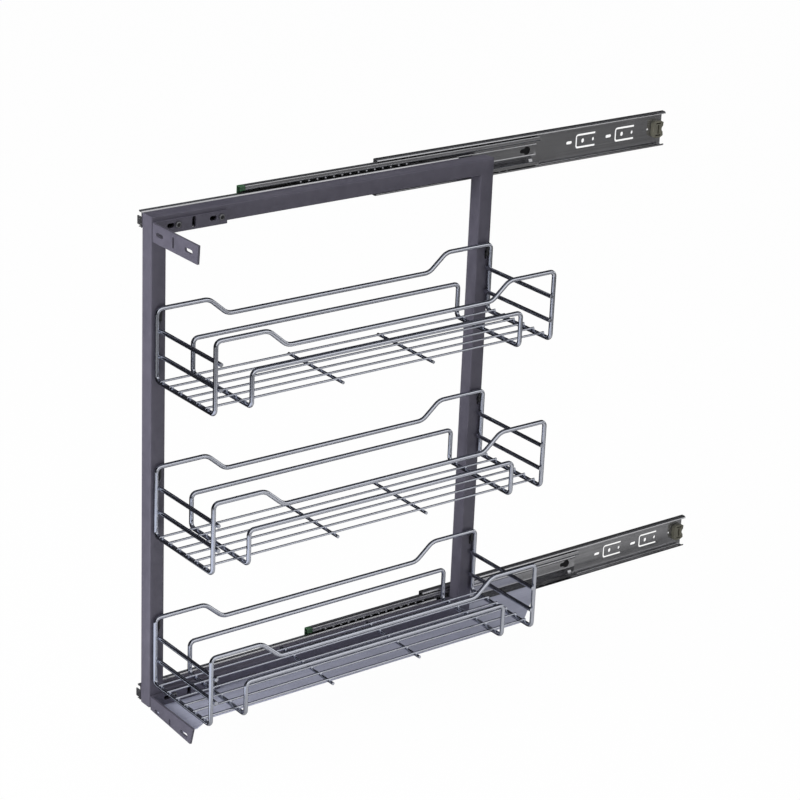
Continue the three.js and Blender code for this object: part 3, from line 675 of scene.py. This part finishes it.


# ---- Ball cages ----
# Blackened strip bent to a channel, its flanges holding a row of polished steel balls above
# and below. One runs between the outer and middle members and one inside the middle one, and
# the strips run on past their balls into the gaps between the members as painted shade.
def blackened_steel_and_shade():
    """Lightly oiled black oxide: the cage's own colour, and painted shade where the strips run past the
    balls.
    """
    material, main = shader("black cage steel and painted shade", (0.014, 0.014, 0.016), 0.35, 0.5)
    vary(material, object_noise(material, (1, 1, 1), 200), main.inputs["Roughness"], 0.28, 0.5)
    return material


def unit_sphere(reach, rings, around):
    """Circles of longitude at latitudes up to the given one: X and Y are the cosine of the
    latitude times the cosine and sine of the longitude, and Z is the sine of the latitude."""
    latitude = np.linspace(-reach, reach, rings)[:, None]
    longitude = np.linspace(0, 2 * np.pi, around, endpoint=False)
    return np.stack([np.cos(latitude) * np.cos(longitude), np.cos(latitude) * np.sin(longitude),
                     np.sin(latitude) + 0 * longitude], axis=-1)


def ball_row(x, y, z, radius, rings=9, around=14):
    """The unit sphere times the radius, moved to each centre in turn."""
    unit = unit_sphere(np.pi / 2 - 0.01, rings, around)
    return [surface(unit * radius + [x, at, z]) for at in y]


cage_black_and_shade = blackened_steel_and_shade()
ball_steel = shader("polished ball steel", (0.34, 0.34, 0.36), 0.16, 1.0)[0]
balls_per_row = 14
outer_cage_shade_tail, inner_cage_shade_start = 44, 2
window_places, window_length = (0.22, 0.5, 0.78), 0.2
for prefix in ("upper", "lower"):
    for which, web_x, ball_x, ball_z, radius in (
            ("outer", outer_cage_x, outer_ball_x, outer_ball_z, outer_ball),
            ("inner", inner_cage_x, inner_ball_x, inner_ball_z, inner_ball)):
        node = f"{prefix}_{which}_cage"
        low, high = extent(node)
        centre_z = (low[2] + high[2]) / 2
        half = np.concatenate([[[ball_x + radius * 0.8, ball_z]], bend_to_web(web_x, ball_z, 0.6)])
        # Painted shade: the strips reach past their balls so that their black fills the shaded gaps.
        start, end = low[1], high[1] + outer_cage_shade_tail
        if which == "inner":
            start, end = extent(f"{prefix}_middle_member")[0][1] + inner_cage_shade_start, high[1]
        cage = piece(node + "_strip", [channel(half, cage_sheet, start, end, centre_z)], cage_black_and_shade)
        length = high[1] - low[1]
        web = slide_face + web_x
        windows = [slot(low[1] + length * share, centre_z, length * window_length, ball_z * 1.2)
                   for share in window_places]
        punch(cage, [prism("x", outline, web - through, web + through) for outline in windows])
        spots = low[1] + length * (np.arange(balls_per_row) + 0.5) / balls_per_row
        rows = [ball for side in (-1, 1)
                for ball in ball_row(slide_face + ball_x, spots, centre_z + side * ball_z, radius)]
        balls = piece(node + "_balls", rows, ball_steel)
        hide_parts(node)
        for made in (cage, balls):
            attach(made, node)


# ---- Buffers and rear stops ----
# Moulded acetal: a dark green buffer with the middle member's section on its front end,
# and an olive-brown catch with two spring lobes in the outer member's rear end.
def moulded(name, colour):
    """Matt moulded plastic with a slight unevenness."""
    material, main = shader(name, colour, 0.45)
    light = tuple(min(1, value * 1.25) for value in colour)
    tint(material, object_noise(material, (1, 1, 1), 120), main.inputs["Base Color"], colour, light)
    return material


green_plastic = moulded("green plastic", (0.05, 0.115, 0.06))
olive_plastic = moulded("olive plastic", (0.165, 0.16, 0.125))
stop_length, stop_half, stop_bend, stop_past = 19, 12, 5, 0.5
for prefix in ("upper", "lower"):
    low, high = extent(f"{prefix}_middle_buffer")
    centre_z = (low[2] + high[2]) / 2
    buffer = piece(f"{prefix}_buffer_moulding",
                   [channel(plain_middle_half, sheet, low[1], high[1], centre_z)], green_plastic)
    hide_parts(f"{prefix}_middle_buffer")
    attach(buffer, f"{prefix}_middle_member")

    low, high = extent(f"{prefix}_rear_stop")
    front = high[1] + stop_past - stop_length
    corner = stop_half - stop_bend
    outline = np.concatenate([
        arc(stop_bend, -corner, stop_bend, 180, 270, 8),
        [[stop_length - 6, -stop_half], [stop_length - 1, 2.5 - stop_half]],
        arc(stop_length + 0.5, 0, 4.6, 240, 120, 6),
        [[stop_length - 1, stop_half - 2.5], [stop_length - 6, stop_half]],
        arc(stop_bend, corner, stop_bend, 90, 180, 8)]) + [front, centre_z]
    block = piece(f"{prefix}_stop_moulding", [prism("x", outline, low[0], high[0])], olive_plastic)
    slit_y = front + 9
    slit = prism("x", upright_slot(slit_y, centre_z, 13, 3), low[0] + 1.5, high[0] + through)
    lobes = [prism("x", slot(slit_y, centre_z + z, 10, 1.6), low[0] + 2, high[0] + through)
             for z in (-8.6, 8.6)]
    punch(block, [slit, *lobes])
    ease_edges(block, 0.5)
    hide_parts(f"{prefix}_rear_stop")
    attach(block, f"{prefix}_cabinet_member")


# ---- Wire baskets ----
# Bright chrome-plated round wire, bent cold and spot-welded: a rim with raised ends and
# cross bars, a lower guard, and a floor of thin wires. Flat hooks drop into the posts, made
# near-black as painted shade behind the rim.
def chrome():
    """Chrome plate with a faint waviness in its gloss."""
    material, main = shader("chrome wire", (0.58, 0.6, 0.67), 0.16, 1.0)
    vary(material, object_noise(material, (1, 1, 1), 90), main.inputs["Roughness"], 0.13, 0.2)
    return material


def bent_loop(corners, radius, steps=8):
    """A closed path with a round bend at each corner, of one radius or a radius for each. On
    each bend the point is the corner's tangent point plus the arc's two parts: along the way
    in, the radius times the sine of the angle turned, and towards the centre, the radius
    times one less its cosine."""
    corners = np.array(corners, float)
    radius = np.broadcast_to(radius, len(corners))[:, None]
    back = np.roll(corners, 1, 0) - corners
    ahead = np.roll(corners, -1, 0) - corners
    back /= np.linalg.norm(back, axis=1)[:, None]
    ahead /= np.linalg.norm(ahead, axis=1)[:, None]
    turn = np.pi - np.arccos(np.clip(np.sum(back * ahead, 1), -1, 1))
    start = corners + back * radius * np.tan(turn / 2)[:, None]
    inside = back + ahead
    inside -= back * np.sum(inside * back, 1)[:, None]
    inside /= np.linalg.norm(inside, axis=1)[:, None]
    angle = turn[:, None] * np.linspace(0, 1, steps + 1)
    bends = (start[:, None] - back[:, None] * (radius * np.sin(angle))[..., None]
             + inside[:, None] * (radius * (1 - np.cos(angle)))[..., None])
    return bends.reshape(-1, 3)


def wire(path, diameter, closed=False, around=20, rounding=0.3):
    """A round wire: each ring is the path's point plus the radius times the cosine and sine of
    its angle along two normals that are carried along the path without twist. On a closed
    path the angle is turned evenly so that the last ring meets the first, and an open wire's
    ends are cut back to a smaller ring."""
    run = np.roll(path, -1, 0) - np.roll(path, 1, 0) if closed else np.gradient(path, axis=0)
    run /= np.linalg.norm(run, axis=1)[:, None]
    radius = diameter / 2
    normal = np.zeros_like(path)
    normal[0] = np.cross([0.36, 0.48, 0.8], run[0])
    for i in range(1, len(path)):
        normal[i] = normal[i - 1] - run[i] * normal[i - 1].dot(run[i])
        normal[i] /= np.linalg.norm(normal[i])
    normal[0] /= np.linalg.norm(normal[0])
    other = np.cross(run, normal)
    twist = np.zeros(len(path))
    if closed:
        carried = normal[-1] - run[0] * normal[-1].dot(run[0])
        twist = -math.atan2(carried.dot(other[0]), carried.dot(normal[0])) * np.arange(len(path)) / len(path)
    angle = np.linspace(0, 2 * np.pi, around, endpoint=False) + twist[:, None]
    spokes = np.cos(angle)[..., None] * normal[:, None] + np.sin(angle)[..., None] * other[:, None]
    rings = path[:, None] + spokes * radius
    if not closed:
        first = path[0] + spokes[0] * (radius - rounding)
        last = path[-1] + spokes[-1] * (radius - rounding)
        rings = np.concatenate([[first], [rings[0] + run[0] * rounding], rings[1:-1],
                                [rings[-1] - run[-1] * rounding], [last]])
    return surface(rings, closed=closed)


def straight(start, end, diameter, around=14):
    """A straight wire: points at equal steps from one end to the other."""
    return wire(np.linspace(start, end, 4), diameter, around=around)


def weld(x, y, z, length, width, height):
    """A weld bead: the unit sphere times half of each of its three sizes."""
    return surface(unit_sphere(1.45, 5, 10) * [length / 2, width / 2, height / 2] + [x, y, z])


chrome_plate = chrome()
# Painted shade: the hooks are near-black for the shade between the rim and the posts.
hook_shade = shader("hooks in painted shade", (0.03, 0.03, 0.033), 0.5, 0.2)[0]
bar_wire, base_wire, cross_wire = 5.5, 3.0, 4.2
rim_low_share = 70.5 / 94
front_bars, rear_bars = np.array([64.6, 31.6]) / 94, np.array([61, 28]) / 94
high_stretch, rim_slope = 75, 27.5
upright_bend, slope_bend = 7, 20
rim_bends = ([upright_bend] * 2 + [slope_bend] * 4 + [upright_bend] * 2) * 2
base_wires, base_inset = 6, 15
cross_places = [200, 341]
base_past_rim = 1.3
hook_sheet, hook_height = 2.5, 4.8
for i in range(basket_count):
    name = f"basket_{i + 1}"
    low, high = rims[i]
    guard_low, guard_high = extent(name + "_guard")
    foot_z = low[2] + rim_wire / 2
    top_z = high[2] - rim_wire / 2
    low_rail_z = foot_z + (top_z - foot_z) * rim_low_share
    far_x = guard_high[0] - rim_wire / 2
    near_x = guard_low[0] + rim_wire / 2
    front_slope, rear_slope = rim_front + high_stretch, rim_rear - high_stretch
    places = [(rim_front, foot_z), (rim_front, top_z), (front_slope, top_z),
              (front_slope + rim_slope, low_rail_z), (rear_slope - rim_slope, low_rail_z),
              (rear_slope, top_z), (rim_rear, top_z), (rim_rear, foot_z)]
    corners = [(far_x, y, z) for y, z in places] + [(near_x, y, z) for y, z in places[::-1]]
    skins = [wire(bent_loop(corners, rim_bends), rim_wire, closed=True)]
    inward = (rim_wire + bar_wire) / 2 - 0.4
    for y, side, shares in ((rim_front + inward, 1, front_bars), (rim_rear - inward, -1, rear_bars)):
        for z in foot_z + (top_z - foot_z) * shares:
            skins.append(straight((near_x - 1, y, z), (high[0], y, z), bar_wire, 18))
            skins += [weld(x, y - side * 2.4, z, 4, 2.6, 6) for x in (near_x, far_x)]
    rim = piece(name + "_rim_wires", skins, chrome_plate)
    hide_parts(name + "_rim")

    slot_z = top_z - wire_bend - hook_slot_height / 2
    neck, tip = slot_z + 4, slot_z - hook_slot_height / 2 - 5
    lip_x = tube - wall - rest_gap
    outline = [
        [neck - hook_height, near_x + 1], [top_z, near_x + 1], [top_z, near_x - 1.2], [neck, near_x - 1.2],
        [neck, lip_x - 2.5], [tip, lip_x - 2.5], [tip, lip_x], [neck - hook_height, lip_x]]
    hook_skins = [prism("y", outline, y - hook_sheet / 2, y + hook_sheet / 2)
                  for y in (rim_front + hook_step, rim_rear - hook_step)]
    hooks = piece(name + "_hooks", hook_skins, hook_shade)
    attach(hooks, "carriage")

    front, rear = guard_low[1] + rim_wire / 2, guard_high[1] - rim_wire / 2
    guard_top = guard_high[2] - rim_wire / 2
    places = [(front, foot_z), (front, guard_top), (rear, guard_top), (rear, foot_z)]
    corners = [(far_x, y, z) for y, z in places] + [(near_x, y, z) for y, z in places[::-1]]
    hoop = wire(bent_loop(corners, upright_bend), rim_wire, closed=True)
    guard = piece(name + "_guard_wires", [hoop], chrome_plate)
    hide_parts(name + "_guard")

    base_low, base_high = extent(name + "_floor")
    base_z = base_high[2] - base_wire / 2
    cross_z = base_low[2] + cross_wire / 2
    spread = np.linspace(near_x + base_inset, far_x - base_inset, base_wires)
    base_end = rim_rear + base_past_rim
    welds = (rim_front, front, rear, rim_rear, *cross_places)
    skins = [straight((x, base_low[1], base_z), (x, base_end, base_z), base_wire) for x in spread]
    skins += [straight((near_x + 5, y, cross_z), (far_x - 6, y, cross_z), cross_wire) for y in cross_places]
    skins += [weld(x, y, base_z - 1.3, 4.2, 4.4, 3) for x in spread for y in welds]
    base = piece(name + "_floor_wires", skins, chrome_plate)
    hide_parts(name + "_floor")
    for made in (rim, guard, base):
        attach(made, "carriage")


# ---- Studio ----
# A white floor a little below the unit, a large soft light in front of it and a weaker one
# above. Cards that only reflections see stand round it: dark ones that give metal its dark
# edges, a grey one overhead and a light one on the floor in front.
floor_drop = 0.058
floor_z = frame_foot[2] - floor_drop


def plane(name, points, material):
    """A flat stage piece through four points."""
    mesh = bpy.data.meshes.new(name)
    mesh.from_pydata(points, [], [(0, 1, 2, 3)])
    mesh.materials.append(material)
    made = bpy.data.objects.new(name, mesh)
    bpy.context.scene.collection.objects.link(made)
    return made


def white_floor():
    """White that the camera sees as plain white, with a part of the object's shadow kept.
    Reflections see a light table round the unit that falls off to a dark floor, which gives
    the bright wires their dark edges."""
    material, main = shader("white floor", (0.9, 0.9, 0.9), 0.9)
    link = material.node_tree.links.new
    path = add_node(material, "ShaderNodeLightPath")
    place = add_node(material, "ShaderNodeTexCoord")
    distance = add_node(material, "ShaderNodeVectorMath", operation="DISTANCE")
    distance.inputs[1].default_value = (*bright_spot, floor_z)
    fall = add_node(material, "ShaderNodeMapRange")
    for key, value in {"From Min": fall_start, "From Max": fall_end,
                       "To Min": near_floor, "To Max": far_floor}.items():
        fall.inputs[key].default_value = value
    shade = add_node(material, "ShaderNodeMix", data_type="FLOAT")
    shade.inputs[2].default_value = 0.9
    link(place.outputs["Object"], distance.inputs[0])
    link(distance.outputs["Value"], fall.inputs["Value"])
    link(path.outputs["Is Glossy Ray"], shade.inputs[0])
    link(fall.outputs["Result"], shade.inputs[3])
    link(shade.outputs[0], main.inputs["Base Color"])
    glow = add_node(material, "ShaderNodeEmission", Strength=1.0)
    glow.inputs["Color"].default_value = (1, 1, 1, 1)
    share = add_node(material, "ShaderNodeMath", operation="MULTIPLY")
    share.inputs[1].default_value = plain_share
    blend = add_node(material, "ShaderNodeMixShader")
    link(path.outputs["Is Camera Ray"], share.inputs[0])
    link(share.outputs[0], blend.inputs["Fac"])
    link(main.outputs["BSDF"], blend.inputs[1])
    link(glow.outputs["Emission"], blend.inputs[2])
    link(blend.outputs["Shader"], material.node_tree.nodes["Material Output"].inputs["Surface"])
    return material


def level_corners(x0, x1, y0, y1, z):
    """The four corners of a level rectangle."""
    return [(x0, y0, z), (x1, y0, z), (x1, y1, z), (x0, y1, z)]


near_floor, far_floor, bright_spot, fall_start, fall_end = 0.8, 0.24, (0.75, -0.05), 0.4, 1.05
plain_share = 0.98
reach = 30
plane("floor", level_corners(-reach, reach, -reach, reach, floor_z), white_floor())
card_black = shader("dark card", (0.016, 0.016, 0.02), 0.9)[0]
card_white, card_main = shader("light card", (0, 0, 0), 0.9)
card_main.inputs["Emission Color"].default_value = (0.86, 0.9, 1, 1)
card_main.inputs["Emission Strength"].default_value = 1.0
card_grey = shader("grey card", (0.12, 0.13, 0.15), 0.9)[0]
side_start, side_foot, floor_right, light_place = 1.4, 0.3, 0.1, (-0.3, 1.1, -1.5, -0.76)
left, right, wide, front, back, top = -1.6, 1.3, 2.6, -2.8, 6, 3
for name, material, corners in (
        ("rear card", card_black,
         [(left, front, floor_z), (left, back, floor_z), (left, back, top), (left, front, top)]),
        ("front card", card_black,
         [(left, front, floor_z), (wide, front, floor_z), (wide, front, top), (left, front, top)]),
        ("side card", card_black,
         [(right, side_start, side_foot), (right, back, side_foot),
          (right, back, top), (right, side_start, top)]),
        ("floor card", card_black, level_corners(left, floor_right, front, back, floor_z + 0.001)),
        ("light card", card_white, level_corners(*light_place, floor_z + 0.002)),
        ("upper card", card_grey, level_corners(left, wide, front, back, top))):
    card = plane(name, corners, material)
    card.visible_camera = False
    card.visible_shadow = False
    card.visible_diffuse = False

world = bpy.data.worlds.new("studio")
bpy.context.scene.world = world
world.use_nodes = True
ambient, reflected = 0.36, 1.0
nodes, link = world.node_tree.nodes, world.node_tree.links.new
path = nodes.new("ShaderNodeLightPath")
for_reflections = nodes.new("ShaderNodeMapRange")
for_reflections.inputs["To Min"].default_value = ambient
for_reflections.inputs["To Max"].default_value = reflected
for_camera = nodes.new("ShaderNodeMath")
for_camera.operation = "MAXIMUM"
link(path.outputs["Is Glossy Ray"], for_reflections.inputs["Value"])
link(path.outputs["Is Camera Ray"], for_camera.inputs[0])
link(for_reflections.outputs["Result"], for_camera.inputs[1])
link(for_camera.outputs["Value"], nodes["Background"].inputs["Strength"])
nodes["Background"].inputs["Color"].default_value = (1, 1, 1, 1)


def soft_light(name, place, target, size, watts):
    """A square area light that faces a point."""
    data = bpy.data.lights.new(name, "AREA")
    data.size = size
    data.energy = watts
    made = bpy.data.objects.new(name, data)
    bpy.context.scene.collection.objects.link(made)
    made.location = place
    made.visible_glossy = False
    made.rotation_mode = "QUATERNION"
    made.rotation_quaternion = (Vector(target) - Vector(place)).to_track_quat("-Z", "Y")
    return made


middle_of_unit = np.mean(cad_bounds, axis=0).tolist()
soft_light("front light", (0.0, -3.6, 0.9), middle_of_unit, 2.2, 114)
soft_light("top light", (0.3, -0.4, 2.9), middle_of_unit, 2.0, 26)

bpy.context.scene.view_settings.view_transform = "Standard"
